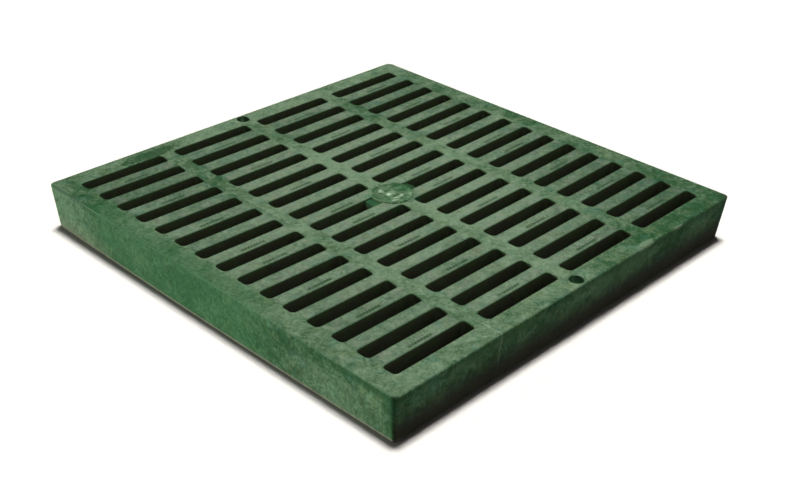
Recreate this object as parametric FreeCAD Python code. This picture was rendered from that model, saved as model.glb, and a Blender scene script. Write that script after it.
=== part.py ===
import FreeCAD
import Part
import math
import os

# Square gully grate, moulded in one piece from green plastic.
# X runs along the slots, Y across them, Z up. The origin is the middle of the
# square that the rim stands on. Lengths are in mm, angles in degrees.

# Outline
SIDE = 304.0
HEIGHT = 29.5
SIDE_DRAFT = 5.2
CORNER_RADIUS = 4.2
TOP_CHAMFER = 1.0
FOOT_CHAMFER = 0.6

# Slot field: the slots take what the margin, strips and bars leave of the side
COLUMN_COUNT = 4
ROW_COUNT = 15
EDGE_MARGIN = 13.8
STRIP_WIDTH = 9.6
BAR_WIDTH = 9.3
SLOT_CORNER_RADIUS = 2.6
MAX_CORNER_SHARE = 0.4  # of the slot's width, which limits its corner radius

# Underside: the bars, the rim wall around them and the cross ribs below the strips
BAR_DEPTH = 14.0
BAR_DRAFT = 2.5
RIM_WALL = 6.0
INNER_DRAFT = 1.0
CROSS_RIB_WIDTH = 7.0
CROSS_RIB_LIFT = 3.0

# Medallion in the middle of the top face, with a lower ledge beside it in the
# two slots that it shortens
MEDALLION_GAP = 0.35
MEDALLION_RISE = 0.6
MEDALLION_RIM_WIDTH = 2.0
LEDGE_LENGTH = 5.0
LEDGE_DROP = 1.2

# Screw holes near the middles of the two edges that run along the slots
SCREW_EDGE_DISTANCE = 6.2
SCREW_HOLE_RADIUS = 2.5
SCREW_HEAD_RADIUS = 4.5
SCREW_HEAD_DEPTH = 6.5
SCREW_BOSS_WALL = 3.75

# How far a cutting shape runs past the face that it opens
OVERRUN = 1.0
TOLERANCE = 1e-4

# Derived places and sizes
half_side = SIDE / 2
bar_foot = HEIGHT - BAR_DEPTH
field = SIDE - 2 * EDGE_MARGIN
slot_length = (field - (COLUMN_COUNT - 1) * STRIP_WIDTH) / COLUMN_COUNT
slot_width = (field - (ROW_COUNT - 1) * BAR_WIDTH) / ROW_COUNT
column_pitch = slot_length + STRIP_WIDTH
row_pitch = slot_width + BAR_WIDTH
column_places = [(i - (COLUMN_COUNT - 1) / 2) * column_pitch for i in range(COLUMN_COUNT)]
row_places = [(i - (ROW_COUNT - 1) / 2) * row_pitch for i in range(ROW_COUNT)]
slot_corner_radius = min(SLOT_CORNER_RADIUS, MAX_CORNER_SHARE * slot_width)
medallion_radius = row_pitch - slot_width / 2 - MEDALLION_GAP
screw_place = half_side - SCREW_EDGE_DISTANCE
screw_boss_radius = SCREW_HOLE_RADIUS + SCREW_BOSS_WALL


def draft_step(angle, drop):
    """How far a drafted wall moves sideways over a drop."""
    return math.tan(math.radians(angle)) * drop


def drafted_block(low, z_low, high, z_high):
    """Block between two rectangles, each given as x from, x to, y from, y to."""
    rings = []
    for (x_from, x_to, y_from, y_to), z in ((low, z_low), (high, z_high)):
        corners = [(x_from, y_from), (x_to, y_from), (x_to, y_to), (x_from, y_to)]
        rings.append([FreeCAD.Vector(x, y, z) for x, y in corners])
    outlines = [rings[0][::-1], rings[1]]
    for k in range(4):
        n = (k + 1) % 4
        outlines.append([rings[0][k], rings[0][n], rings[1][n], rings[1][k]])
    faces = [Part.Face(Part.makePolygon(outline + outline[:1])) for outline in outlines]
    return Part.Solid(Part.Shell(faces))


def centred(half_x, half_y):
    return (-half_x, half_x, -half_y, half_y)


def upright_cylinder(radius, x, y, z_from, z_to):
    return Part.makeCylinder(radius, z_to - z_from, FreeCAD.Vector(x, y, z_from))


def rounded_block(half_x, half_y, corner_radius, z_from, z_to):
    """Upright block with four round corners."""
    outline = centred(half_x, half_y)
    block = drafted_block(outline, z_from, outline, z_to)
    upright = [edge for edge in block.Edges if edge.BoundBox.ZLength > TOLERANCE]
    return block.makeFillet(corner_radius, upright)


def level_edges(shape, z):
    """Edges that lie in the plane at height z."""
    return [
        edge
        for edge in shape.Edges
        if abs(edge.BoundBox.ZMin - z) < TOLERANCE and abs(edge.BoundBox.ZMax - z) < TOLERANCE
    ]


def outer_form():
    """Square block that narrows to its foot, with its outside edges broken."""
    narrowing = draft_step(SIDE_DRAFT, HEIGHT)
    core = half_side - CORNER_RADIUS
    foot_half = half_side - narrowing
    along_x = drafted_block(centred(foot_half, core), 0, centred(half_side, core), HEIGHT)
    along_y = drafted_block(centred(core, foot_half), 0, centred(core, half_side), HEIGHT)
    corners = [
        Part.makeCone(CORNER_RADIUS - narrowing, CORNER_RADIUS, HEIGHT, FreeCAD.Vector(x, y, 0))
        for x in (-core, core)
        for y in (-core, core)
    ]
    block = along_x.fuse([along_y] + corners).removeSplitter()
    block = block.makeChamfer(TOP_CHAMFER, level_edges(block, HEIGHT))
    return block.makeChamfer(FOOT_CHAMFER, level_edges(block, 0))


def medallion():
    """Raised round rim on the top face."""
    z_top = HEIGHT + MEDALLION_RISE
    rim = upright_cylinder(medallion_radius, 0, 0, HEIGHT - OVERRUN, z_top)
    inside_radius = medallion_radius - MEDALLION_RIM_WIDTH
    return rim.cut(upright_cylinder(inside_radius, 0, 0, HEIGHT, z_top + OVERRUN))


def wall_place(z):
    """Inner face of the rim wall at height z, from the middle."""
    return half_side - RIM_WALL + draft_step(INNER_DRAFT, bar_foot - z)


def rib_half(z):
    """Half the thickness of a cross rib at height z."""
    return CROSS_RIB_WIDTH / 2 - draft_step(INNER_DRAFT, bar_foot - z)


def bay_sides(column, z):
    """The two walls beside a column at height z: cross ribs, or the rim at the ends."""
    x_from = column_places[column] - column_pitch / 2 + rib_half(z)
    x_to = column_places[column] + column_pitch / 2 - rib_half(z)
    if column == 0:
        x_from = -wall_place(z)
    if column == COLUMN_COUNT - 1:
        x_to = wall_place(z)
    return x_from, x_to


def bay_tool(column):
    """Open space below the bars, between two cross ribs or a rib and the rim."""
    rectangles = []
    for z in (0, bar_foot):
        x_from, x_to = bay_sides(column, z)
        rectangles.append((x_from, x_to, -wall_place(z), wall_place(z)))
    return drafted_block(rectangles[0], 0, rectangles[1], bar_foot)


def foot_tool():
    """Space below the cross ribs, which stop short of the foot."""
    low = centred(wall_place(-OVERRUN), wall_place(-OVERRUN))
    high = centred(wall_place(CROSS_RIB_LIFT), wall_place(CROSS_RIB_LIFT))
    return drafted_block(low, -OVERRUN, high, CROSS_RIB_LIFT)


def middle_bed():
    """What the two shortened slots leave: the medallion's bed, and the ledge below it."""
    ledge_level = HEIGHT - LEDGE_DROP
    bed = upright_cylinder(medallion_radius, 0, 0, ledge_level, HEIGHT + OVERRUN)
    ledge = upright_cylinder(medallion_radius + LEDGE_LENGTH, 0, 0, bar_foot - OVERRUN, ledge_level)
    return bed.fuse(ledge)


def slot_tools():
    """One shape for each slot, with the taper of the bars on its long sides."""
    z_low = bar_foot - OVERRUN
    half_x = slot_length / 2
    half_y = slot_width / 2
    slot = rounded_block(half_x, half_y, slot_corner_radius, z_low, HEIGHT + OVERRUN)
    straight = half_x - slot_corner_radius
    foot = centred(straight, half_y + draft_step(BAR_DRAFT, HEIGHT - z_low))
    slot = slot.fuse(drafted_block(foot, z_low, centred(straight, half_y), HEIGHT))
    bed = middle_bed()
    tools = []
    for x in column_places:
        for y in row_places:
            tool = slot.translated(FreeCAD.Vector(x, y, 0))
            reaches_bed = abs(x) < column_pitch and abs(y) < row_pitch / 2
            tools.append(tool.cut(bed) if reaches_bed else tool)
    return tools


def screw_bosses():
    return [
        upright_cylinder(screw_boss_radius, 0, side * screw_place, -OVERRUN, HEIGHT)
        for side in (-1, 1)
    ]


def screw_hole_tools():
    """Through hole with a deep seat for the screw head, at both edges."""
    tools = []
    for side in (-1, 1):
        y = side * screw_place
        hole = upright_cylinder(SCREW_HOLE_RADIUS, 0, y, -OVERRUN, HEIGHT + OVERRUN)
        seat = upright_cylinder(SCREW_HEAD_RADIUS, 0, y, HEIGHT - SCREW_HEAD_DEPTH, HEIGHT + OVERRUN)
        tools.append(hole.fuse(seat))
    return tools


def underside_tools():
    """The space below the cross ribs and the bays between them, around the screw bosses."""
    tools = [foot_tool()] + [bay_tool(column) for column in range(COLUMN_COUNT)]
    return [tool.cut(screw_bosses()) for tool in tools]


def grate():
    body = outer_form().fuse(medallion())
    body = body.cut(underside_tools())
    body = body.cut(slot_tools())
    body = body.cut(screw_hole_tools())
    return body.removeSplitter()


os.makedirs("parts", exist_ok=True)
shape = grate()
print("valid", shape.isValid(), "solids", len(shape.Solids), "volume", round(shape.Volume))
shape.Solids[0].exportStep("parts/grate.step")
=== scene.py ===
import math

import bmesh
import bpy
from mathutils import Matrix, Vector


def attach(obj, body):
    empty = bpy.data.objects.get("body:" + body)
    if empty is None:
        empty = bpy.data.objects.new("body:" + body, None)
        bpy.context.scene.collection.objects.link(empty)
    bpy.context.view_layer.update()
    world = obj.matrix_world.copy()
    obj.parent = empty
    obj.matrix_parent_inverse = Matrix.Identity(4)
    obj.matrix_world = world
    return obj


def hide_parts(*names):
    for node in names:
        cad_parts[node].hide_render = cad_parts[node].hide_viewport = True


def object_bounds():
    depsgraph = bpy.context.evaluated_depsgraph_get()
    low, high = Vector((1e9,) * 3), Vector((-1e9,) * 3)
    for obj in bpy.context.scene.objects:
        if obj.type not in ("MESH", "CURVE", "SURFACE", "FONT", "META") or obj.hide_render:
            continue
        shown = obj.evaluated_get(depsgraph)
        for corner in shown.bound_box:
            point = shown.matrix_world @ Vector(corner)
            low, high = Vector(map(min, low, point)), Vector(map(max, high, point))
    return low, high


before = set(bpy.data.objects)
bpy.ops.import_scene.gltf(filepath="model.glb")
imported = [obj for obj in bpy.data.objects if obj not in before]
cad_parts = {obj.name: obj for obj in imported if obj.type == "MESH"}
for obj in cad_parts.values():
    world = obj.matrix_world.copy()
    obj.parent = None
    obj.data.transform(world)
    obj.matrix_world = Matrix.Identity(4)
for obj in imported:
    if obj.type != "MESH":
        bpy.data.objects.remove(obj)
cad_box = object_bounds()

# A square gully grate, moulded in one piece from green plastic. X runs along its slots, Y across
# them and Z up. Sizes and places are in mm until a mesh is made. The photo looks at the corner
# between -X, the left side, and -Y, the right side.

MM = 0.001

# Outside. The height comes from the frame.
SIDE = 304.0
MEDALLION_RISE = 0.6
HEIGHT = cad_box[1].z / MM - MEDALLION_RISE
SIDE_DRAFT = math.radians(5.2)
CORNER_RADII = (4.2, 3.0, 4.6, 2.6)  # back, left, front and right corner
FOOT_RADII = (2.2, 2.2, 1.8, 2.2)
TOP_EDGE_RADIUS = 1.2
FOOT_EDGE_RADIUS = 0.45

# Slots, which take what the margin, strips and bars leave of the side
COLUMNS = 4
ROWS = 15
EDGE_MARGIN = 13.8
STRIP_WIDTH = 9.6
BAR_WIDTH = 9.3
SLOT_CORNER_RADIUS = 2.6
MOUTH_RADIUS = 0.6
MOUTH_INSET = 0.15  # by which a slot is narrower on each side, below its rounded mouth

# Underside
BAR_DEPTH = 14.0
BAR_DRAFT = math.radians(2.5)
RIM_WALL = 6.0
INNER_DRAFT = math.radians(1.0)
CROSS_RIB_WIDTH = 7.0
CROSS_RIB_LIFT = 3.0
INNER_FILLET = 1.0

# Medallion, with a raised rim, short curved ribs and a low dome, and the ledge beside it
MEDALLION_GAP = 0.35
MEDALLION_RIM_WIDTH = 2.0
MEDALLION_RIM_EDGE = 0.45
RIM_SLOPE_START = 0.5  # outside the rim's inner circle
RIM_SLOPE_FOOT = 0.6  # inside it
RIM_SLOPE_TOE = 1.2  # inside it, where the slope has run out
RIM_SLOPE_EASE = 0.1  # by which it starts below the top and ends above the ground
RELIEF_RISE = 0.5
DOME_RADIUS = 3.0
DOME_TIP = 0.05  # radius of the small flat that closes the dome
CURVED_RIB_CIRCLE = 7.2
CURVED_RIB_TURNS = (122, 15, -72, -116)  # in degrees
CURVED_RIB_HALVES = (3.0, 1.0)
CURVED_RIB_CORNER = 0.9
CURVED_RIB_EDGE = 0.3
LEDGE_LENGTH = 5.0
LEDGE_DROP = 1.2

# Screw holes
SCREW_EDGE_DISTANCE = 6.2
SCREW_HOLE_RADIUS = 2.5
SCREW_HEAD_RADIUS = 4.5
SCREW_HEAD_DEPTH = 6.5
SCREW_BOSS_WALL = 3.75
SCREW_MOUTH_RADIUS = 0.3

# Treads: a short line of them on every second bar
TREAD_LENGTH = 2.05
TREAD_WIDTH = 3.2
TREAD_RISE = 0.22
TREAD_CORNER = 0.5
TREAD_EDGE = 0.18
TREAD_PITCH = 2.25
TREADS_IN_A_ROW = 8
TREAD_BARS = 4  # in each half of the grate
TREAD_MIDDLE = 3.5  # row pitches from the middle to that half's treads
TREAD_SHIFT = -0.3

# How the moulding has bent: its top hangs and is twisted, and its foot stands out
GRID_SAG = 2.2
CORNER_TWIST = 0.6
FOOT_BOW = 1.4
FRONT_SPREAD = 1.0
SPREAD_FROM = 0.8  # share of the half side beyond which a side starts to stand out
SPREAD_OVER = 0.15  # share over which it gets there
SPREAD_TOP = 0.95  # share of the height up to which it stands out

# How far a cutting shape runs past the face that it opens, and an added one into its ground
OVERRUN = 1.0
EMBED = 0.6
CLEARANCE = 0.02  # by which a rounded mouth ends above the face
CUT_TOLERANCE = 1e-7  # in metres

# Faces larger than this, in mm2, or this close to level are shaded flat
WIDE_FACE = 30.0
LEVEL_WITHIN = math.radians(1.0)

half_side = SIDE / 2
bar_foot = HEIGHT - BAR_DEPTH
slot_length = (SIDE - 2 * EDGE_MARGIN - (COLUMNS - 1) * STRIP_WIDTH) / COLUMNS
slot_width = (SIDE - 2 * EDGE_MARGIN - (ROWS - 1) * BAR_WIDTH) / ROWS
column_pitch = slot_length + STRIP_WIDTH
row_pitch = slot_width + BAR_WIDTH
medallion_radius = row_pitch - slot_width / 2 - MEDALLION_GAP
screw_place = half_side - SCREW_EDGE_DISTANCE


def new_object(name, data):
    """A new object at the origin of the scene."""
    made = bpy.data.objects.new(name, data)
    bpy.context.scene.collection.objects.link(made)
    return made


def mesh_object(name, form):
    """A new object from a bmesh, which is used up."""
    mesh = bpy.data.meshes.new(name)
    form.to_mesh(mesh)
    form.free()
    return new_object(name, mesh)


def even_steps(start, end, count):
    return [start + (end - start) * k / count for k in range(count + 1)]


def side_face(z):
    """Outer face of the side wall at height z, from the middle."""
    return half_side - math.tan(SIDE_DRAFT) * (HEIGHT - z)


def wall_place(z):
    """Inner face of the rim wall at height z, from the middle."""
    return half_side - RIM_WALL + math.tan(INNER_DRAFT) * (bar_foot - z)


def rib_half(z):
    """Half the thickness of a cross rib at height z."""
    return CROSS_RIB_WIDTH / 2 - math.tan(INNER_DRAFT) * (bar_foot - z)


def lift_at(u, v):
    """How far the top stands above its level: the grid hangs, and two corners stand up.
    u and v run from -1 to 1 across the grate."""
    return (1 - u * u) * (1 - v * v) * -GRID_SAG - u * v * CORNER_TWIST


def spread_at(u, v, share):
    """How far the foot stands out at the left side and at the front corner, along -X and -Y.
    share is the height, from 0 to 1."""
    near_left, near_right = (min(1, max(0, (-place - SPREAD_FROM) / SPREAD_OVER)) for place in (u, v))
    bowed = FOOT_BOW * (1 - v * v)
    out_left = (bowed + FRONT_SPREAD * (1 - v) / 2) * near_left
    out_right = FRONT_SPREAD * (1 - u) / 2 * near_right
    fading = max(0, 1 - share / SPREAD_TOP)
    return out_left * fading, out_right * fading


def cut_along_grid(piece):
    """Divides the long faces along the columns and rows, so that they can bend."""
    form = bmesh.new()
    form.from_mesh(piece.data)
    cuts = [(k * column_pitch / 2, (1, 0, 0)) for k in range(-COLUMNS, COLUMNS + 1)]
    cuts += [((k - ROWS / 2) * row_pitch, (0, 1, 0)) for k in range(ROWS + 1)]
    for place, across in cuts:
        everything = form.verts[:] + form.edges[:] + form.faces[:]
        middle = Vector(across) * place * MM
        bmesh.ops.bisect_plane(
            form, geom=everything, dist=CUT_TOLERANCE, plane_co=middle, plane_no=across
        )
    form.to_mesh(piece.data)
    form.free()


def settle(piece):
    """Gives a piece the sag, the twist and the spread foot of the moulding."""
    cut_along_grid(piece)
    for vertex in piece.data.vertices:
        x, y, z = vertex.co
        u, v = x / (half_side * MM), y / (half_side * MM)
        out_left, out_right = spread_at(u, v, z / (HEIGHT * MM))
        vertex.co.x = x - out_left * MM
        vertex.co.y = y - out_right * MM
        vertex.co.z = z * (1 + lift_at(u, v) / HEIGHT)
    piece.data.update()


def straight_points(start, end, cuts):
    """The points that divide a straight stretch into equal parts."""
    return [start.lerp(end, k / cuts) for k in range(1, cuts)]


def rounded_ring(half_x, half_y, radius, z, steps=8, cuts=1):
    """Points of a rectangle with round corners, seen from above anticlockwise. radius is one for
    all corners or one each, steps divide a corner, and cuts divide a straight stretch."""
    radii = radius if isinstance(radius, tuple) else (radius,) * 4
    points = []
    for quarter, (sign_x, sign_y) in enumerate(((1, 1), (-1, 1), (-1, -1), (1, -1))):
        corner = radii[quarter]
        centre = Vector((sign_x * (half_x - corner), sign_y * (half_y - corner), z))
        arc = []
        for angle in even_steps(quarter * math.pi / 2, (quarter + 1) * math.pi / 2, steps):
            arc.append(centre + Vector((math.cos(angle), math.sin(angle), 0)) * corner)
        if points:
            points += straight_points(points[-1], arc[0], cuts)
        points += arc
    return points + straight_points(points[-1], points[0], cuts)


def closed_mesh(name, rings):
    """A closed solid through rings of equal count, lowest first."""
    form = bmesh.new()
    loops = [[form.verts.new(point * MM) for point in ring] for ring in rings]
    count = len(loops[0])
    for low, high in zip(loops, loops[1:]):
        for k in range(count):
            n = (k + 1) % count
            form.faces.new((low[k], low[n], high[n], high[k]))
    form.faces.new(loops[0][::-1])
    form.faces.new(loops[-1])
    return mesh_object(name, form)


def turned(name, profile, place=(0, 0), steps=64):
    """A closed solid of revolution from radius and height pairs, lowest first."""
    rings = []
    for radius, z in profile:
        ring = []
        for k in range(steps):
            angle = 2 * math.pi * k / steps
            x, y = place[0] + radius * math.cos(angle), place[1] + radius * math.sin(angle)
            ring.append(Vector((x, y, z)))
        rings.append(ring)
    return closed_mesh(name, rings)


def round_over(half, z_top, radius, lean=0.0, steps=5):
    """Half width and height pairs of a rounded top edge over a wall that leans outwards."""
    centre = half - radius * (1 + math.sin(lean)) / math.cos(lean)
    pairs = []
    for angle in even_steps(-lean, math.pi / 2, steps):
        pairs.append((centre + radius * math.cos(angle), z_top - radius + radius * math.sin(angle)))
    return pairs


def crowned(name, half_x, half_y, corner, z_low, z_top, edge, cuts=1):
    """A low block with round corners and a rounded top edge."""
    levels = [(0.0, z_low)]
    for angle in even_steps(0, math.pi / 2, 3):
        levels.append((edge * (1 - math.cos(angle)), z_top - edge + edge * math.sin(angle)))
    rings = []
    for inset, z in levels:
        half = (half_x - inset, half_y - inset)
        rings.append(rounded_ring(*half, corner - inset, z, steps=3, cuts=cuts))
    return closed_mesh(name, rings)


def outer_block():
    """The square block with its drafted sides and rounded edges."""
    levels = []
    for angle in even_steps(0, math.pi / 2, 4):
        z = FOOT_EDGE_RADIUS * (1 - math.cos(angle))
        levels.append((side_face(z) - FOOT_EDGE_RADIUS * (1 - math.sin(angle)), z))
    levels += round_over(half_side, HEIGHT, TOP_EDGE_RADIUS, SIDE_DRAFT, steps=6)
    rings = []
    for half, z in levels:
        inset = side_face(z) - half
        radii = tuple(
            foot + (top - foot) * z / HEIGHT - inset for foot, top in zip(FOOT_RADII, CORNER_RADII)
        )
        rings.append(rounded_ring(half, half, radii, z, steps=12))
    return closed_mesh("grate", rings)


def slot_tool():
    """What one slot takes away: flared at its mouth, tapered along its sides."""
    half_x = slot_length / 2 - MOUTH_INSET
    half_y = slot_width / 2 - MOUTH_INSET
    levels = [(0.0, bar_foot - OVERRUN), (0.0, bar_foot + MOUTH_RADIUS)]
    for angle in even_steps(0, math.pi / 2, 5):
        z = HEIGHT - MOUTH_RADIUS + MOUTH_RADIUS * math.sin(angle) + CLEARANCE
        levels.append((MOUTH_RADIUS * (1 - math.cos(angle)), z))
    levels.append((MOUTH_RADIUS, HEIGHT + OVERRUN))
    rings = []
    for flare, z in levels:
        taper = math.tan(BAR_DRAFT) * max(0, HEIGHT - z)
        half = (half_x + flare, half_y + flare + taper)
        rings.append(rounded_ring(*half, SLOT_CORNER_RADIUS + flare, z, steps=6))
    return closed_mesh("slot_tool", rings)


def bay_tool(column):
    """Open space below the bars of one column, between two cross ribs or a rib and the rim."""
    rings = []
    middle = (column - (COLUMNS - 1) / 2) * column_pitch
    for z in (-OVERRUN, bar_foot):
        x_from = middle - column_pitch / 2 + rib_half(z)
        x_to = middle + column_pitch / 2 - rib_half(z)
        if column == 0:
            x_from = -wall_place(z)
        if column == COLUMNS - 1:
            x_to = wall_place(z)
        ring = rounded_ring((x_to - x_from) / 2, wall_place(z), INNER_FILLET, z, steps=4)
        rings.append([point + Vector(((x_from + x_to) / 2, 0, 0)) for point in ring])
    return closed_mesh("bay_tool", rings)


def foot_tool():
    """Space below the cross ribs, which stop short of the foot."""
    rings = []
    for z in (-OVERRUN, CROSS_RIB_LIFT):
        rings.append(rounded_ring(wall_place(z), wall_place(z), INNER_FILLET, z, steps=4))
    return closed_mesh("foot_tool", rings)


def screw_boss(side):
    radius = SCREW_HOLE_RADIUS + SCREW_BOSS_WALL
    return turned("boss", [(radius, -2 * OVERRUN), (radius, HEIGHT)], (0, side * screw_place))


def screw_tool(side):
    """Through hole with its deep seat for the head."""
    seat = HEIGHT - SCREW_HEAD_DEPTH
    mouth = SCREW_HEAD_RADIUS + SCREW_MOUTH_RADIUS
    profile = [
        (SCREW_HOLE_RADIUS, -OVERRUN),
        (SCREW_HOLE_RADIUS, seat),
        (SCREW_HEAD_RADIUS, seat),
        (SCREW_HEAD_RADIUS, HEIGHT - SCREW_MOUTH_RADIUS),
        (mouth, HEIGHT + CLEARANCE),
        (mouth, HEIGHT + OVERRUN),
    ]
    return turned("screw_tool", profile, (0, side * screw_place), steps=48)


def ledge():
    """The lower step beside the medallion, inside the two shortened slots."""
    reach = medallion_radius + LEDGE_LENGTH
    spread = math.asin((slot_width / 2 + EMBED) / reach)
    outline = []
    for turn in (0, math.pi):
        for angle in even_steps(turn - spread, turn + spread, 12):
            outline.append(Vector((reach * math.cos(angle), reach * math.sin(angle), 0)))
    levels = (bar_foot, HEIGHT - LEDGE_DROP)
    rings = [[point + Vector((0, 0, z)) for point in outline] for z in levels]
    return closed_mesh("ledge", rings)


def medallion():
    """The round boss in the middle, with a raised rim and a low dome."""
    inner = medallion_radius - MEDALLION_RIM_WIDTH
    z_top = HEIGHT + MEDALLION_RISE
    profile = [(medallion_radius, HEIGHT - LEDGE_DROP - EMBED)]
    profile += round_over(medallion_radius, z_top, MEDALLION_RIM_EDGE, steps=3)
    profile.append((inner + RIM_SLOPE_START, z_top - RIM_SLOPE_EASE))
    profile.append((inner - RIM_SLOPE_FOOT, HEIGHT + RIM_SLOPE_EASE))
    profile.append((inner - RIM_SLOPE_TOE, HEIGHT))
    for angle in even_steps(0, math.pi / 2, 6)[:-1]:
        profile.append((DOME_RADIUS * math.cos(angle), HEIGHT + RELIEF_RISE * math.sin(angle)))
    profile.append((DOME_TIP, HEIGHT + RELIEF_RISE))
    return turned("medallion", profile, steps=96)


def curved_rib(turn):
    """A short raised rib that follows a circle round the dome."""
    levels = (HEIGHT - EMBED, HEIGHT + RELIEF_RISE)
    rib = crowned(
        "curved_rib", *CURVED_RIB_HALVES, CURVED_RIB_CORNER, *levels, CURVED_RIB_EDGE, cuts=4
    )
    for vertex in rib.data.vertices:
        along, across, z = vertex.co
        radius = CURVED_RIB_CIRCLE * MM + across
        angle = turn + along / (CURVED_RIB_CIRCLE * MM)
        vertex.co = (radius * math.cos(angle), radius * math.sin(angle), z)
    rib.data.update()
    turn_faces_outwards(rib)
    return rib


def turn_faces_outwards(piece):
    form = bmesh.new()
    form.from_mesh(piece.data)
    bmesh.ops.recalc_face_normals(form, faces=form.faces)
    form.to_mesh(piece.data)
    form.free()


def tread_tool():
    """A short line of raised treads, as one tool."""
    form = bmesh.new()
    levels = (HEIGHT - EMBED, HEIGHT + TREAD_RISE)
    for k in range(TREADS_IN_A_ROW):
        shift = (k - (TREADS_IN_A_ROW - 1) / 2) * TREAD_PITCH
        tread = crowned("tread", TREAD_LENGTH / 2, TREAD_WIDTH / 2, TREAD_CORNER, *levels, TREAD_EDGE)
        tread.data.transform(Matrix.Translation((shift * MM, 0, 0)))
        form.from_mesh(tread.data)
        bpy.data.objects.remove(tread)
    return mesh_object("tread_tool", form)


def bake(piece):
    """Turns what the modifiers make of a piece into its own plain mesh."""
    seen = piece.evaluated_get(bpy.context.evaluated_depsgraph_get())
    mesh = bpy.data.meshes.new_from_object(seen)
    piece.modifiers.clear()
    piece.data = mesh


def combine(piece, tool, operation):
    """Joins tool to piece, or takes it away, and removes the tool."""
    step = piece.modifiers.new("combine", "BOOLEAN")
    step.solver = "MANIFOLD"
    step.operation = operation
    step.object = tool
    bake(piece)
    bpy.data.objects.remove(tool)


def make_node(tree, kind, settings=None, inputs=None):
    """A new node with its settings first, then the values or links of its sockets. A list links
    each of its items to the same socket."""
    made = tree.nodes.new(kind)
    for name, value in (settings or {}).items():
        setattr(made, name, value)
    for name, value in (inputs or {}).items():
        for item in value if isinstance(value, list) else [value]:
            if isinstance(item, bpy.types.NodeSocket):
                tree.links.new(item, made.inputs[name])
            else:
                made.inputs[name].default_value = item
    return made


def repeat_tree():
    """Geometry nodes that put a tool at every place of a grid and combine it with the piece."""
    tree = bpy.data.node_groups.new("repeat on a grid", "GeometryNodeTree")
    sizes = {
        "Piece": "NodeSocketGeometry",
        "Tool": "NodeSocketObject",
        "Columns": "NodeSocketInt",
        "Rows": "NodeSocketInt",
        "Column pitch": "NodeSocketFloat",
        "Row pitch": "NodeSocketFloat",
        "Middle": "NodeSocketVector",
        "Take away": "NodeSocketBool",
        "Material": "NodeSocketMaterial",
    }
    for name, kind in sizes.items():
        tree.interface.new_socket(name, in_out="INPUT", socket_type=kind)
    tree.interface.new_socket("Piece", in_out="OUTPUT", socket_type="NodeSocketGeometry")
    given = tree.nodes.new("NodeGroupInput").outputs

    def node(kind, inputs, **settings):
        return make_node(tree, kind, settings, inputs).outputs[0]

    def span(count, pitch):
        gaps = node("ShaderNodeMath", {0: given[count], 1: 1.0}, operation="SUBTRACT")
        return node("ShaderNodeMath", {0: gaps, 1: given[pitch]}, operation="MULTIPLY")

    def combined(inputs, operation):
        return node("GeometryNodeMeshBoolean", inputs, operation=operation, solver="MANIFOLD")

    places = node("GeometryNodeMeshGrid", {
        "Size X": span("Columns", "Column pitch"),
        "Size Y": span("Rows", "Row pitch"),
        "Vertices X": given["Columns"],
        "Vertices Y": given["Rows"],
    })
    moved = node("GeometryNodeTransform", {"Geometry": places, "Translation": given["Middle"]})
    source = make_node(tree, "GeometryNodeObjectInfo", {}, {"Object": given["Tool"]})
    tool = source.outputs["Geometry"]
    spread = node("GeometryNodeInstanceOnPoints", {"Points": moved, "Instance": tool})
    tools = node("GeometryNodeRealizeInstances", {"Geometry": spread})
    chosen = node("GeometryNodeSwitch", {
        "Switch": given["Take away"],
        "False": combined({"Mesh 2": [given["Piece"], tools]}, "UNION"),
        "True": combined({"Mesh 1": given["Piece"], "Mesh 2": tools}, "DIFFERENCE"),
    }, input_type="GEOMETRY")
    realized = node("GeometryNodeRealizeInstances", {"Geometry": chosen})
    dressed = node("GeometryNodeSetMaterial", {"Geometry": realized, "Material": given["Material"]})
    make_node(tree, "NodeGroupOutput", {}, {"Piece": dressed})
    return tree


def repeat(piece, tree, tool, material, **sizes):
    """Runs the grid tree on a piece with its own sizes, in metres, and keeps the result."""
    step = piece.modifiers.new("repeat", "NODES")
    step.node_group = tree
    values = {"Tool": tool, "Material": material}
    values.update({name.replace("_", " "): value for name, value in sizes.items()})
    for item in tree.interface.items_tree:
        if item.in_out == "INPUT" and item.name in values:
            step[item.identifier] = values[item.name]
    bake(piece)
    bpy.data.objects.remove(tool)


def underside_space():
    """All that is open below the bars, with the two screw bosses left standing in it."""
    space = foot_tool()
    for column in range(COLUMNS):
        combine(space, bay_tool(column), "UNION")
    for side in (-1, 1):
        combine(space, screw_boss(side), "DIFFERENCE")
    return space


def smooth_rounds(piece):
    """Smooth shading on the rounded faces, and flat shading on the plane ones."""
    for face in piece.data.polygons:
        level = abs(face.normal.z) > math.cos(LEVEL_WITHIN)
        wide = face.area > WIDE_FACE * MM * MM
        face.use_smooth = not (level or wide)
    piece.data.update()


def build_grate(material):
    tree = repeat_tree()
    grate = outer_block()
    combine(grate, underside_space(), "DIFFERENCE")
    repeat(
        grate, tree, slot_tool(), material, Columns=COLUMNS, Rows=ROWS,
        Column_pitch=column_pitch * MM, Row_pitch=row_pitch * MM, Take_away=True,
    )
    combine(grate, ledge(), "UNION")
    combine(grate, medallion(), "UNION")
    for turn in CURVED_RIB_TURNS:
        combine(grate, curved_rib(math.radians(turn)), "UNION")
    for side in (-1, 1):
        combine(grate, screw_tool(side), "DIFFERENCE")
        middle = side * TREAD_MIDDLE * row_pitch + TREAD_SHIFT
        repeat(
            grate, tree, tread_tool(), material, Columns=COLUMNS, Rows=TREAD_BARS,
            Column_pitch=column_pitch * MM, Row_pitch=2 * row_pitch * MM,
            Middle=(0, middle * MM, 0), Take_away=False,
        )
    smooth_rounds(grate)
    settle(grate)
    return grate


def linear(*rgb):
    """A colour as it is written for a screen, from 0 to 255, as scene-linear values."""
    channels = []
    for value in rgb:
        share = value / 255
        channels.append(share / 12.92 if share <= 0.04045 else ((share + 0.055) / 1.055) ** 2.4)
    return (*channels, 1.0)


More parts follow.
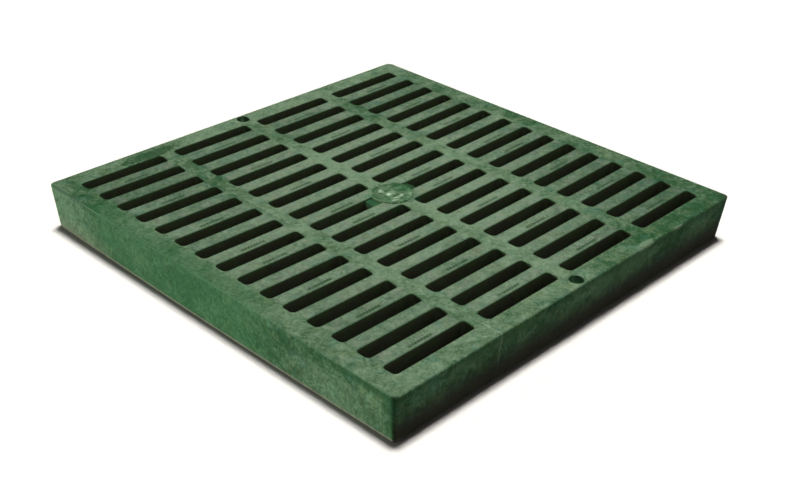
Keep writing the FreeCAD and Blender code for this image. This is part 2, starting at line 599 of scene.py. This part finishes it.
# Ground colours of the plastic
BARE_TOP = linear(34, 86, 44)
CHALKY_TOP = linear(131, 157, 124)
GREYED_BAR = linear(130, 141, 128)
BARE_SIDE = linear(34, 82, 40)
CHALKY_SIDE = linear(100, 138, 98)
OLIVE = linear(118, 140, 92)
SEA_GREEN = linear(76, 130, 106)
PINKISH = linear(144, 138, 130)

# Stains, scuffs and dust, and painted shade and highlights
# stains, and painted shade on the left top edge
STAIN_AND_SHADE = linear(30, 78, 38)
PALE_SIDE = linear(126, 152, 118)
PURE_GREEN = linear(46, 106, 54)
SIDE_DUST = linear(132, 138, 110)
# painted highlight along the foot's edge
FOOT_EDGE_HIGHLIGHT = linear(132, 132, 110)
CORNER_SPECK = linear(240, 236, 212)
SCUFF = linear(142, 166, 132)
LONG_SCUFF = linear(142, 168, 134)
LIT_SIDE = linear(78, 116, 70)
BROWN_CORNER = linear(72, 72, 56)
BACK_ROUNDING = linear(118, 112, 98)
SEAM = linear(168, 182, 158)
SINK_MARK = linear(60, 96, 66)
TREAD_SHADE = linear(32, 78, 38)
# painted shade round the slots' mouths
SLOT_EDGE_SHADE = linear(46, 90, 48)
# painted shade on the right side
RIGHT_SIDE_SHADE = linear(54, 50, 38)

# Medallion
MEDALLION_GREEN = linear(74, 128, 76)
WORN_DARK = linear(42, 98, 50)
WORN_PALE = linear(142, 160, 130)
# painted highlight on the medallion's raised relief
RAISED_HIGHLIGHT = linear(170, 194, 162)
RIGHT_PATCH = linear(34, 96, 48)
RIGHT_GLINT = linear(126, 172, 128)
LEFT_PATCH = linear(74, 132, 98)
DARK_SPOT = linear(34, 78, 40)
# painted highlight spots on the medallion
SPOT_HIGHLIGHT = linear(184, 214, 178)

# Painted shade inside the slots and the screw seats, and on the ledges
SLOT_WALL_SHADE = linear(66, 80, 50)
SLOT_WALL_GREYER_SHADE = linear(66, 68, 50)
SLOT_END_WALL_SHADE = linear(70, 80, 54)
SLOT_MOUTH_SHADE = linear(48, 96, 50)
BED_WALL_SHADE = linear(44, 98, 58)
SCREW_SEAT_SHADE = linear(18, 52, 24)
LEFT_LEDGE_SHADE = linear(50, 108, 66)
RIGHT_LEDGE_SHADE = linear(24, 70, 34)
LEDGE_DARK_PATCH = linear(26, 84, 44)

# Spots on the medallion, dark ones and painted highlights of its relief: middle, half sizes and
# strength
DARK_SPOTS = (
    ((-2.3, 11.0), (2.8, 1.3), 0.5),
    ((0.8, 4.4), (2.8, 1.2), 0.6),
    ((-5.6, -0.7), (1.4, 1.1), 0.6),
    ((-0.3, -3.8), (3.6, 1.1), 0.6),
    ((7.8, 5.0), (4.0, 1.6), 0.5),
    ((-6.7, -10.5), (3.4, 1.5), 0.55),
    ((-1.1, -13.0), (1.5, 1.3), 0.8),
)
HIGHLIGHT_SPOTS = (
    ((-2.8, -0.1), (1.9, 1.8), 0.95),
    ((-3.6, 5.7), (1.9, 1.6), 0.6),
    ((2.1, -6.6), (1.7, 1.5), 0.7),
    ((-3.6, -7.5), (3.6, 1.7), 0.6),
)
SPOT_RAGGED = 0.35

# Where the margins along the four sides begin, and where they are full
MARGIN_FADE = (136.0, 142.0)

# Shares of the marbling's sizes, coarse to fine, and how deep it bites into the bloom
MOTTLE_SHARES = (0.9, 1.6, 1.2, 0.5)
MOTTLE_DEPTH = 1.45
BLOOM_RANGE = (-0.45, 1.55)

# Edge of a soft spot, in shares of its size squared, and how far the marbling frays it
PATCH_EDGE = (1.3, 0.4)
PATCH_FRAYING = 4

# Surface
BARE_ROUGHNESS = 0.62
BLOOM_ROUGHNESS = 0.16  # more where the bloom lies
GRAIN_STRENGTH = 0.4
GRAIN_DEPTH = 0.0004  # in metres
REFLECTION = 0.25


class Value:
    """An output of a shader tree, with Math nodes for its sums and products."""

    def __init__(self, shading, socket):
        self.shading = shading
        self.socket = socket

    def __add__(self, other):
        return self.shading.math("ADD", self, other)

    def __sub__(self, other):
        return self.shading.math("SUBTRACT", self, other)

    def __rsub__(self, other):
        return self.shading.math("SUBTRACT", other, self)

    def __mul__(self, other):
        return self.shading.math("MULTIPLY", self, other)

    def __truediv__(self, other):
        return self.shading.math("DIVIDE", self, other)

    def __abs__(self):
        return self.shading.math("ABSOLUTE", self)

    __radd__ = __add__
    __rmul__ = __mul__


class Shading:
    """A material's or the world's nodes, written as expressions."""

    def __init__(self, owner):
        owner.use_nodes = True
        self.tree = owner.node_tree
        self.tree.nodes.clear()

    def node(self, kind, settings=None, inputs=None, output=0):
        sockets = {name: getattr(value, "socket", value) for name, value in (inputs or {}).items()}
        made = make_node(self.tree, kind, settings, sockets)
        return Value(self, made.outputs[output]) if made.outputs else None

    def math(self, operation, *terms):
        return self.node("ShaderNodeMath", {"operation": operation}, dict(enumerate(terms)))

    def distance(self, along, across):
        return self.math("SQRT", along * along + across * across)

    def mix(self, share, first, second):
        """A colour between two. The sockets are numbered, since the node has one set a type."""
        settings = {"data_type": "RGBA", "blend_type": "MIX"}
        return self.node("ShaderNodeMix", settings, {0: share, 6: first, 7: second}, 2)

    def scale(self, colour, amount):
        inputs = {"Vector": colour, "Scale": amount}
        return self.node("ShaderNodeVectorMath", {"operation": "SCALE"}, inputs)

    def fade(self, value, low, high):
        """0 below low, 1 above high, with a smooth change between; low may be the larger."""
        inputs = {"Value": value, "From Min": low, "From Max": high}
        return self.node("ShaderNodeMapRange", {"interpolation_type": "SMOOTHSTEP"}, inputs)

    def between(self, value, rise, fall):
        """1 between two places and 0 outside. rise and fall say where each change starts and ends."""
        return self.fade(value, rise[0], rise[1]) * self.fade(value, fall[1], fall[0])

    def near(self, value, place, reach, full):
        """1 within full of a place, and 0 beyond reach of it."""
        return self.fade(abs(value - place), reach, full)

    def strongest(self, masks):
        """The largest of several masks."""
        largest = masks[0]
        for mask in masks[1:]:
            largest = self.math("MAXIMUM", largest, mask)
        return largest

    def noise(self, size, detail=3.0, rough=0.55, twist=0.0, shift=(0, 0, 0)):
        """Noise with lumps of about this size."""
        place = self.node("ShaderNodeMapping", {}, {
            "Vector": self.object_place(), "Location": shift, "Scale": (1 / (size * MM),) * 3
        })
        return self.node("ShaderNodeTexNoise", {}, {
            "Vector": place, "Scale": 1.0, "Detail": detail, "Roughness": rough, "Distortion": twist
        })

    def object_place(self):
        return self.node("ShaderNodeTexCoord", output="Object")

    def parts(self, vector):
        """The three parts of a vector."""
        separated = self.node("ShaderNodeSeparateXYZ", {}, {"Vector": vector})
        return [Value(self, socket) for socket in separated.socket.node.outputs]

    def seen_by_camera(self):
        """1 for what the camera sees, also through a clear piece, and 0 for bounced light."""
        path = "ShaderNodeLightPath"
        direct = self.node(path, output="Is Camera Ray")
        return self.math("MAXIMUM", direct, self.node(path, output="Is Transmission Ray"))


class GratePlastic(Shading):
    """Matte green plastic, coloured coat by coat: a chalky, marbled bloom on top and purer green
    on the sides, then stains, scuffs, wear and dirt where the photo shows them."""

    def __init__(self, owner):
        super().__init__(owner)
        self.find_places()
        self.make_patterns()
        self.mark_areas()

    def find_places(self):
        """Places in mm, as on the grate before it bent, and the three parts of the normal."""
        self.x, self.y, height = [part / MM for part in self.parts(self.object_place())]
        self.z = height / (1 + lift_at(self.x / half_side, self.y / half_side) / HEIGHT)
        self.tilt_x, self.tilt_y, self.tilt_z = self.parts(
            self.node("ShaderNodeNewGeometry", output="Normal")
        )
        self.rightwards = self.x - self.y
        self.backwards = self.x + self.y
        self.radius = self.distance(self.x, self.y)
        self.reach = self.strongest([abs(self.x), abs(self.y)])
        self.from_strip = self.math("PINGPONG", self.x, column_pitch / 2)
        self.from_column = column_pitch / 2 - self.from_strip
        self.from_row = self.math("PINGPONG", self.y, row_pitch / 2)

    def make_patterns(self):
        """The marbling, from lumps of 45 mm down to specks."""
        broad = self.noise(45, detail=3, rough=0.5, twist=0.3)
        self.marble = self.noise(13, detail=4, rough=0.6, twist=1.0)
        self.streak = self.noise(4.5, detail=3, rough=0.6, twist=1.6, shift=(3.1, 1.7, 0.4))
        speck = self.noise(1.7, detail=2, rough=0.6, twist=0.5)
        self.patchy = self.noise(3.4, detail=3, rough=0.6, twist=1.2, shift=(5.0, 2.0, 8.0))
        self.fine = (self.streak - 0.5) * 0.6 + (speck - 0.5) * 0.35
        patterns = (broad, self.marble, self.streak, speck)
        self.mottle = self.total(
            (share, pattern - 0.5) for share, pattern in zip(MOTTLE_SHARES, patterns)
        )

    def mark_areas(self):
        """Masks for the parts of the surface."""
        slots_from = half_side - EDGE_MARGIN
        strip_half = STRIP_WIDTH / 2
        self.margin = self.fade(self.reach, slots_from - 4.0, slots_from + 1.0)
        off_strip = self.fade(self.from_strip, strip_half, strip_half + 4.0)
        self.on_bars = off_strip * (1 - self.margin)
        self.on_strips = (1 - off_strip) * (1 - self.margin)
        margin_from, margin_full = MARGIN_FADE
        self.left_margin = self.fade(self.x, -margin_from, -margin_full)
        self.right_margin = self.fade(self.y, -margin_from, -margin_full)
        self.back_left_margin = self.fade(self.y, margin_from, margin_full)
        self.back_right_margin = self.fade(self.x, margin_from, margin_full)
        self.upright = self.fade(abs(self.tilt_z), 0.8, 0.3)
        self.high = self.fade(self.z, HEIGHT - 6.0, HEIGHT - 4.0)
        self.on_top = (1 - self.upright) * self.high
        self.outside = self.fade(self.reach, half_side - 4.0, half_side - 3.0)
        self.on_left = self.fade(self.tilt_x, -0.3, -0.9) * self.outside
        self.on_right = self.fade(self.tilt_y, -0.3, -0.9) * self.outside
        above_foot = self.fade(self.z, bar_foot - 1.0, bar_foot)
        self.in_slots = self.fade(self.reach, half_side - 2.0, half_side - 4.0) * above_foot

    @staticmethod
    def total(parts):
        """The sum of masks, each times its amount."""
        return sum(mask * amount for amount, mask in parts)

    def patch(self, along, across, middle, size, ragged=0.5):
        """A soft spot with a ragged edge: 1 in its middle, 0 outside."""
        u = (along - middle[0]) / size[0]
        v = (across - middle[1]) / size[1]
        fraying = (self.streak + self.marble - 1.0) * ragged * PATCH_FRAYING
        return self.fade(u * u + v * v + fraying, *PATCH_EDGE)

    def coat(self, colour, share):
        """Lays a colour over the last one, where and as far as share says."""
        self.base = self.mix(share, self.base, colour)

    def bloom_and_shade_share(self):
        """How much of the chalky bloom lies on the top: less towards its corners and its back,
        more in its middle, and uneven on the margins, bars and strips. Its fall towards the left
        and right corners is partly painted shade."""
        x, y = self.x, self.y
        whole = self.total((
            # the falls towards the right and left corners are partly painted shade
            (-0.3, self.fade(x, 40, 135)),
            (-0.42, self.fade(self.rightwards, 130, 270)),
            (-0.42, self.fade(self.rightwards, -50, -300)),
            (-0.28, self.between(y, (50, 105), (128, 139))),
            (-0.2, self.fade(self.backwards, -60, -240)),
            (-0.26, self.fade(self.rightwards, 90, 190) * self.fade(x, -20, 30)),
            (0.24, self.fade(self.distance(x, y - 20), 100, 45)),
        ))
        margins = self.total((
            (-0.1, self.margin),
            (-0.1, self.margin * self.fade(self.backwards, -236, -262)),
            (0.22, self.left_margin * self.fade(y, -90, -120)),
            (-0.2, self.right_margin * self.between(x, (0, 20), (90, 120))),
            (-0.12, self.right_margin * self.between(x, (-5, 12), (40, 60))),
            (0.2, self.back_left_margin * self.near(x, 0, 50, 30)),
            (0.22, self.back_left_margin * self.near(x, -34, 30, 18)),
            (-0.12, self.back_left_margin * self.fade(x, -100, -122)),
            (-0.48, self.back_right_margin * self.between(y, (-25, 10), (48, 62))),
            (0.26, self.back_right_margin * self.near(y, -88, 42, 24)),
            (0.14, self.back_right_margin * self.fade(y, 50, 68)),
        ))
        bars = self.total((
            (-0.1, self.fade(abs(x), 72, 84)),
            (0.08, self.fade(self.backwards, -120, -180)),
            (0.1, self.fade(x, 72, 84) * self.fade(y, 62, 78)),
            (-0.08, self.fade(x, 72, 84) * self.near(y, -57, 36, 24)),
            (-0.2, self.fade(y, -70, -100) * self.between(x, (0, 20), (60, 78))),
        ))
        strips = self.total((
            (-0.25, self.fade(abs(x), 45, 62)),
            (-0.1, self.near(x, 0, 40, 20) * self.near(y, 50, 40, 28)),
            (0.12, self.fade(x, 45, 62) * self.fade(y, -65, -85)),
        ))
        level = 1 + whole + margins + bars * self.on_bars + strips * self.on_strips
        return self.fade(level + self.mottle * MOTTLE_DEPTH, *BLOOM_RANGE)

    def lay_ground(self):
        """Bloom over bare green on the top, fresher green on the sides, and a changing hue."""
        # the bloom share carries painted shade towards the left and right corners too
        self.bloom = self.bloom_and_shade_share()
        top = self.mix(self.bloom, BARE_TOP, CHALKY_TOP)
        top = self.mix(self.on_bars * 0.2, top, GREYED_BAR)
        chalk = self.fade(self.mottle * 2.3 + self.fade(self.y, 70, 150) * 0.6, -1.0, 1.3)
        side = self.mix(chalk, BARE_SIDE, CHALKY_SIDE)
        self.base = self.mix(self.upright * self.outside, top, side)
        hue = self.noise(9, detail=3, rough=0.6, twist=0.6, shift=(9.0, 4.0, 2.0))
        self.coat(OLIVE, self.fade(hue, 0.5, 0.75) * 0.4)
        self.coat(SEA_GREEN, self.fade(hue, 0.5, 0.25) * 0.4)
        pink = self.noise(8, detail=2, rough=0.5, twist=0.4, shift=(2.0, 7.0, 5.0))
        self.coat(PINKISH, self.fade(pink, 0.5, 0.74) * self.on_bars * 0.25)

    def add_stains_and_shade(self):
        """Dark stains on the top and the left side, dark bands under the upper edges of both near
        sides, and painted shade on the left side's rounded top edge that dims its highlight.
        """
        x, y, z = self.x, self.y, self.z
        below_left_edge = self.fade(z, HEIGHT - 7.0, HEIGHT - 2.5) * self.fade(y, -60, -125)
        below_right_edge = self.fade(z, HEIGHT - 9.0, HEIGHT - 2.0)
        left_rounding_shade = self.fade(self.tilt_x, -0.12, -0.35) * self.fade(z, HEIGHT - 1.6, HEIGHT - 1.0)
        self.coat(STAIN_AND_SHADE, self.strongest([
            self.patch(x, y, middle=(-82, 143), size=(24, 5)) * self.on_top * 0.75,
            self.patch(x, y, middle=(118, -146), size=(32, 6)) * self.on_top * 0.35,
            self.patch(x, y, middle=(150, -150), size=(9, 9), ragged=0.2) * 0.6,
            self.patch(y, z, middle=(16, 18), size=(20, 9)) * self.on_left * 0.55,
            self.patch(y, z, middle=(-35, 12), size=(20, 6)) * self.on_left * 0.2,
            self.on_left * below_left_edge * 0.7,
            self.on_left * self.fade(y, -145, -149) * 0.8,
            # painted shade on the left top edge's rounding, against its highlight
            self.outside * left_rounding_shade * (0.5 + self.fade(y, -20, 30) * 0.38),
            self.on_right * below_right_edge * 0.35,
        ]))

    def colour_left_side(self):
        """Chalk near the front corner, purer green beyond it, dust towards the foot, a painted
        highlight along the foot's edge, and a pale speck on the front corner's foot."""
        x, y, z = self.x, self.y, self.z
        below_edge = self.fade(z, HEIGHT - 7.0, HEIGHT - 12.0)
        self.coat(PALE_SIDE, self.on_left * self.near(y, -110, 44, 20) * below_edge * 0.2)
        purer = self.strongest([self.left_margin * self.on_top * 0.45, self.on_left * 0.62])
        self.coat(PURE_GREEN, purer * self.between(y, (-75, -35), (95, 125)))
        self.coat(SIDE_DUST, self.on_left * self.fade(z, 14, 3) * self.fade(y, 75, 115) * 0.3)
        # painted highlight along the foot's edge
        self.coat(FOOT_EDGE_HIGHLIGHT, self.on_left * self.fade(z, 1.8, 1.2) * 0.8)
        speck = self.near(x, -147.6, 2.4, 1.3) * self.fade(y, -148.4, -149.4)
        self.coat(CORNER_SPECK, speck * self.fade(z, 1.9, 1.2) * 0.85)

    def mark_edges(self):
        """Scuffs and lighter spots at the right side's edge, a brown tinge on the right corner,
        and a greyer one on the roundings that face +Y."""
        x, y, z = self.x, self.y, self.z
        on_edge = self.fade(z, HEIGHT - 2.5, HEIGHT - 1.5)
        scuffs = self.strongest([
            self.patch(x, z, middle=(59, HEIGHT), size=(9, 3)),
            self.patch(x, z, middle=(94, HEIGHT), size=(5, 3)),
        ])
        self.coat(SCUFF, self.fade(self.tilt_y, -0.1, -0.4) * on_edge * scuffs * 0.6)
        long_scuff = self.patch(x, y, middle=(62, -149.5), size=(8, 1.8), ragged=0.7)
        self.coat(LONG_SCUFF, long_scuff * self.on_top * 0.6)
        lit = self.strongest([
            self.patch(x, z, middle=(42, 22), size=(30, 7)),
            self.patch(x, z, middle=(-72, 25), size=(34, 4)),
        ])
        self.coat(LIT_SIDE, lit * self.on_right * 0.4)
        right_corner = self.fade(self.rightwards, 294, 302) * self.fade(z, HEIGHT - 8.0, HEIGHT - 2.0)
        self.coat(BROWN_CORNER, right_corner * 0.45)
        self.coat(BACK_ROUNDING, self.fade(self.tilt_y, 0.15, 0.5) * on_edge * 0.5)

    def mark_left_strip(self):
        """A pale seam at the right side and a sink mark, both in line with the left strip."""
        seam = self.near(self.x, -72, 0.9, 0.2) * self.fade(self.y, -131, -136)
        self.coat(SEAM, seam * 0.3)
        sink = self.near(self.x + (self.marble - 0.5) * 3, -75, 1.3, 0.3) * self.on_top
        self.coat(SINK_MARK, sink * self.between(self.y, (5, 15), (80, 90)) * 0.35)

    def wear_medallion(self):
        """Patchy wear, a painted highlight on the raised relief, dark spots and painted highlight
        spots, and a greener patch beside it.
        """
        x, y = self.x, self.y
        edge = medallion_radius
        here = self.fade(self.radius, edge + 2.5, edge - 1.5) * self.high
        self.coat(MEDALLION_GREEN, here * self.fade(self.marble, 0.3, 0.6) * 0.55)
        worn = here * (0.45 + self.fade(self.radius, edge - 4.0, edge - 2.0) * 0.4)
        self.coat(WORN_DARK, worn * self.fade(self.patchy, 0.48, 0.6))
        self.coat(WORN_PALE, worn * self.fade(self.patchy, 0.46, 0.34) * 0.8)
        # painted highlight on the raised relief, broken up by the streaks
        raised = self.fade(self.z, HEIGHT + 0.1, HEIGHT + 0.4) * self.fade(self.streak, 0.4, 0.62)
        within_rim = self.fade(self.radius, edge - 2.0, edge - 3.0)
        self.coat(RAISED_HIGHLIGHT, here * within_rim * raised * 0.6)
        self.coat(RIGHT_PATCH, self.patch(x, y, middle=(11.5, 3), size=(6, 8)) * here * 0.75)
        self.coat(RIGHT_GLINT, self.patch(x, y, middle=(8.2, 2.2), size=(2.8, 2.8)) * self.high * 0.5)
        for spots, colour in ((DARK_SPOTS, DARK_SPOT), (HIGHLIGHT_SPOTS, SPOT_HIGHLIGHT)):
            for middle, size, share in spots:
                self.coat(colour, self.patch(x, y, middle, size, SPOT_RAGGED) * self.high * share)
        beside = self.patch(x, y, middle=(-14.0, 7.0), size=(4.0, 2.6))
        self.coat(LEFT_PATCH, beside * self.on_top * 0.5)

    def shade_treads(self):
        """A dark line beside the treads of every second bar, darkest next to each tread."""
        period = 2 * row_pitch
        from_bar = (self.math("FRACT", abs(self.y) / period) - 0.25) * period
        from_bar = from_bar * self.math("SIGN", self.y)
        line = self.near(from_bar, -2.1, 1.3, 0.6) * self.fade(self.from_column, 10.5, 8.0)
        line = line * (1 - self.margin) * self.on_top * self.fade(self.streak, 0.36, 0.5)
        line = line * (0.7 + self.fade(self.backwards, 60, -120) * 0.3)
        ticks = self.fade(self.math("PINGPONG", self.from_column, TREAD_PITCH / 2), 0.25, 0.7)
        self.coat(TREAD_SHADE, line * (0.42 + ticks * 0.4))

    def shade_slot_edges(self):
        """Painted shade: a darker line round every slot, where its rounded mouth turns away from the
        light.
        """
        straight_x = slot_length / 2 - SLOT_CORNER_RADIUS
        straight_y = slot_width / 2 - SLOT_CORNER_RADIUS
        beyond_x = self.math("MAXIMUM", self.from_column - straight_x, 0.0)
        beyond_y = self.math("MAXIMUM", self.from_row - straight_y, 0.0)
        from_slot = self.distance(beyond_x, beyond_y) - SLOT_CORNER_RADIUS
        self.coat(SLOT_EDGE_SHADE, self.fade(from_slot, 1.3, 0.2) * (1 - self.margin) * 0.4)

    def paint_slot_shade(self):
        """Painted shade inside the slots: dull and dark, a touch lighter on the end faces, greener
        near the mouths and round the medallion's bed.
        """
        end_wall = self.fade(self.tilt_x, -0.3, -0.8)
        wall_shade = self.mix(self.fade(self.marble, 0.35, 0.65), SLOT_WALL_SHADE, SLOT_WALL_GREYER_SHADE)
        wall_shade = self.mix(end_wall, wall_shade, SLOT_END_WALL_SHADE)
        wall_shade = self.mix(self.fade(self.z, HEIGHT - 2.2, HEIGHT - 0.4) * 0.45, wall_shade, SLOT_MOUTH_SHADE)
        # painted shade on the upright faces inside the slots
        self.coat(wall_shade, self.upright * self.in_slots)
        near_bed = self.fade(self.radius, medallion_radius + 6.0, medallion_radius + 4.0)
        near_bed = near_bed * (1 - end_wall) * self.fade(self.z, HEIGHT - 9.0, HEIGHT - 1.5)
        self.coat(BED_WALL_SHADE, self.upright * self.in_slots * near_bed * 0.7)

    def shade_screw_seats(self):
        """Painted shade in the seats, less of it on the part of their wall that the light reaches."""
        from_screw = abs(self.y) - screw_place
        squared = self.x * self.x + from_screw * from_screw
        in_seat = self.fade(squared, (SCREW_HEAD_RADIUS + 0.4) ** 2, SCREW_HEAD_RADIUS ** 2)
        in_seat = in_seat * self.fade(self.z, HEIGHT, HEIGHT - 0.6) * self.high
        self.coat(SCREW_SEAT_SHADE, in_seat * (0.9 - self.near(self.x, 2.2, 1.4, 0.4) * 0.45))

    def shade_ledges(self):
        """Painted shade on the two ledges beside the medallion, which lie below the top: light on the
        left one, dark on the right one, with darker patches.
        """
        step = (1 - self.upright) * self.in_slots * self.fade(self.z, HEIGHT - 0.5, HEIGHT - 0.9)
        self.coat(self.mix(self.fade(self.x, -1.0, 1.0), LEFT_LEDGE_SHADE, RIGHT_LEDGE_SHADE), step * 0.85)
        self.coat(LEDGE_DARK_PATCH, step * self.fade(self.patchy, 0.4, 0.62) * 0.5)

    def shade_right_side(self):
        """Painted shade on the right side, growing darker towards its foot."""
        self.coat(RIGHT_SIDE_SHADE, self.on_right * self.fade(self.z, HEIGHT - 7.0, 5.0) * 0.9)

    def close(self):
        """Ends the tree in the plastic's shader, with its fine marbling, roughness and grain."""
        grain = self.noise(1.1, detail=3, rough=0.6)
        lumps = self.noise(7, detail=3, rough=0.5, twist=0.4)
        bump = self.node("ShaderNodeBump", {}, {
            "Strength": GRAIN_STRENGTH, "Distance": GRAIN_DEPTH, "Height": grain * 0.4 + lumps * 0.6
        })
        shader = self.node("ShaderNodeBsdfPrincipled", {}, {
            "Base Color": self.scale(self.base, 1 + self.fine * (1 + self.on_left * 0.7)),
            "Roughness": BARE_ROUGHNESS + self.bloom * BLOOM_ROUGHNESS,
            "Specular IOR Level": REFLECTION,
            "Normal": bump,
        })
        self.node("ShaderNodeOutputMaterial", {}, {"Surface": shader})


def moulded_plastic():
    material = bpy.data.materials.new("green_plastic")
    plastic = GratePlastic(material)
    plastic.lay_ground()
    plastic.add_stains_and_shade()
    plastic.colour_left_side()
    plastic.mark_edges()
    plastic.mark_left_strip()
    plastic.wear_medallion()
    plastic.shade_treads()
    plastic.shade_slot_edges()
    plastic.paint_slot_shade()
    plastic.shade_screw_seats()
    plastic.shade_ledges()
    plastic.shade_right_side()
    plastic.close()
    return material


# The floor and the world are pale to the camera and dim to bounced light
FLOOR_REACH = 6.0  # in metres
FLOOR_COLOUR = (0.368, 0.353, 0.335, 1)
BOUNCE_COLOUR = (0.05, 0.05, 0.05, 1)
AMBIENT = 0.02

# Lamps: direction from the grate, strength, angle in degrees, and what each one lights
ABOVE = (0.132, 0.132, 1.0)
LAMPS = {
    "key_from_above": (ABOVE, 1.35, 14, "everything"),
    "floor_from_above": (ABOVE, 7.75, 12.5, "floor"),
    "floor_wide": (ABOVE, 0.4, 40, "floor"),
    "floor_from_left": ((-1.0, 0.8, 0.6), 0.35, 30, "floor"),
    "low_from_left": ((-0.55, 0.8, 0.1), 4.05, 16, "grate"),
    "soft_from_right": ((0.1, -0.6, 0.8), 1.02, 120, "grate"),
}

# The photograph's viewpoint, from the fit of the slots' corners
CAMERA_PLACE = (-501.52, -479.65, 365.58 + HEIGHT)
CAMERA_AIM = (-41.19, -47.39, HEIGHT)
CAMERA_ROLL = math.radians(1.864)
FOCAL_PIXELS = 1241.16
IMAGE_WIDTH = 800
SENSOR_WIDTH = 36.0


def floor_finish():
    """Plain floor that its own lamps bring to white, so that it keeps the grate's shadow."""
    material = bpy.data.materials.new("plain_floor")
    f = Shading(material)
    colour = f.mix(f.seen_by_camera(), BOUNCE_COLOUR, FLOOR_COLOUR)
    shader = f.node("ShaderNodeBsdfDiffuse", {}, {"Color": colour})
    f.node("ShaderNodeOutputMaterial", {}, {"Surface": shader})
    return material


def add_floor():
    form = bmesh.new()
    corners = []
    for x, y in ((-1, -1), (1, -1), (1, 1), (-1, 1)):
        corners.append(form.verts.new((x * FLOOR_REACH, y * FLOOR_REACH, 0)))
    form.faces.new(corners)
    floor = mesh_object("floor", form)
    floor.data.materials.append(floor_finish())
    return floor


def add_world():
    """Pale to the camera, and a faint light to everything else."""
    world = bpy.data.worlds.new("studio")
    bpy.context.scene.world = world
    w = Shading(world)
    faint = w.node("ShaderNodeBackground", {}, {"Strength": AMBIENT})
    pale = w.node("ShaderNodeBackground", {}, {"Strength": 1.0})
    light = w.node("ShaderNodeMixShader", {}, {0: w.seen_by_camera(), 1: faint, 2: pale})
    w.node("ShaderNodeOutputWorld", {}, {"Surface": light})


def add_sun(name, towards, strength, angle):
    """A soft distant lamp; towards points from the grate to the lamp."""
    data = bpy.data.lights.new(name, "SUN")
    data.energy = strength
    data.angle = math.radians(angle)
    lamp = new_object(name, data)
    lamp.rotation_euler = Vector(towards).to_track_quat("Z", "Y").to_euler()
    return lamp


def light_only(lamp, piece):
    """Keeps a lamp's light on one piece."""
    lit = bpy.data.collections.new(lamp.name + " lights")
    lit.objects.link(piece)
    lamp.light_linking.receiver_collection = lit


def add_lamps(pieces):
    """pieces holds the objects that a lamp may be kept on, by the names in LAMPS."""
    for name, (towards, strength, angle, lights) in LAMPS.items():
        lamp = add_sun(name, towards, strength, angle)
        if lights in pieces:
            light_only(lamp, pieces[lights])


def add_camera():
    data = bpy.data.cameras.new("camera")
    data.sensor_width = SENSOR_WIDTH
    data.lens = FOCAL_PIXELS / IMAGE_WIDTH * SENSOR_WIDTH
    camera = new_object("camera", data)
    place = Vector(CAMERA_PLACE) * MM
    aim = (Vector(CAMERA_AIM) * MM - place).to_track_quat("-Z", "Y").to_matrix()
    roll = Matrix.Rotation(CAMERA_ROLL, 3, "Z")
    camera.matrix_world = Matrix.Translation(place) @ (aim @ roll).to_4x4()
    bpy.context.scene.camera = camera


bpy.context.scene.view_settings.view_transform = "Standard"
add_camera()
add_world()
floor = add_floor()
grate = build_grate(moulded_plastic())
add_lamps({"floor": floor, "grate": grate})
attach(grate, "root")
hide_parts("grate")
